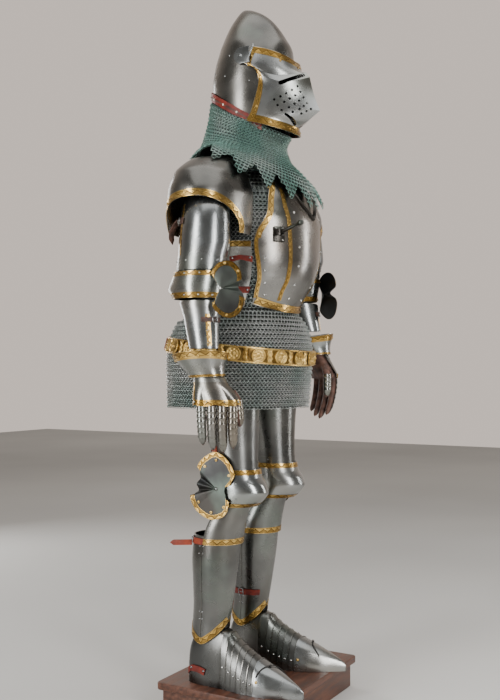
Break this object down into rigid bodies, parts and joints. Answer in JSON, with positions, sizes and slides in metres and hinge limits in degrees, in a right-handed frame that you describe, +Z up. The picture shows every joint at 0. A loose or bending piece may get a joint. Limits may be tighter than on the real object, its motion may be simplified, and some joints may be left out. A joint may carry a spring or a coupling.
{
  "type": "suit of plate armour on a wooden plinth",
  "caption": "Standing suit of plate armour with a pointed visored helmet, a mail cape and skirt, gauntlets and a brass plaque belt, on a low wooden plinth.",
  "frame": {"origin": "middle of the whole object at the plinth's underside", "axes": "+Z up; the figure faces -Y and its right hand is at -X"},
  "size_m": [0.7, 0.4766, 1.948],
  "materials": {
    "steel": "polished plate with darker reflections",
    "dark_steel": "dark polished plate",
    "mail": "small linked rings with a grey green patina",
    "brass": "engraved and cast brass",
    "red_leather": "orange red strap leather",
    "brown_leather": "dull brown red leather",
    "black_lace": "thin black waxed lace",
    "wood": "satin mahogany brown"
  },
  "bodies": {
    "harness": {"helmet_skull": "dark_steel", "helmet_strip": "red_leather", "aventail": "mail", "breastplate": "steel", "backplate": "steel", "mail_shirt": "mail", "plaque_belt": "brass", "stop_rib": "dark_steel", "lance_rest_base": "dark_steel", "side_strap_right": "red_leather", "side_strap_left": "red_leather", "spaulder_right": "steel", "upper_cannon_right": "steel", "couter_right": "steel", "couter_wing_right": "steel", "lower_cannon_right": "steel", "gauntlet_cuff_right": "steel", "hand_plate_right": "steel", "index_finger_right": "steel", "middle_finger_right": "steel", "ring_finger_right": "steel", "little_finger_right": "steel", "thumb_right": "steel", "glove_right": "brown_leather", "spaulder_left": "steel", "upper_cannon_left": "steel", "couter_left": "steel", "couter_wing_left": "steel", "lower_cannon_left": "steel", "gauntlet_cuff_left": "steel", "hand_plate_left": "steel", "index_finger_left": "steel", "middle_finger_left": "steel", "ring_finger_left": "steel", "little_finger_left": "steel", "thumb_left": "steel", "glove_left": "brown_leather", "cuisse_right": "steel", "poleyn_right": "steel", "poleyn_wing_right": "steel", "demi_greave_right": "steel", "greave_right": "steel", "sabaton_right": "steel", "toe_cap_right": "steel", "toe_lace_right": "black_lace", "cuisse_left": "steel", "poleyn_left": "steel", "poleyn_wing_left": "steel", "demi_greave_left": "steel", "greave_left": "steel", "sabaton_left": "steel", "toe_cap_left": "steel", "toe_lace_left": "black_lace", "plinth_board": "wood", "plinth_box": "wood"},
    "visor": {"visor": "steel", "visor_arm_right": "steel", "visor_arm_left": "steel"},
    "lance_rest": {"lance_rest_arm": "dark_steel"}
  },
  "joints": [
    {"name": "visor_lift", "type": "hinge", "parent": "harness", "child": "visor", "pos_m": [0, -0.033, 1.783], "axis": [-1, 0, 0], "range_deg": [0, 38]},
    {"name": "lance_rest_fold", "type": "hinge", "parent": "harness", "child": "lance_rest", "pos_m": [-0.12712, -0.16228, 1.298], "axis": [-0.9888, 0.1495, 0], "range_deg": [0, 68]}
  ]
}
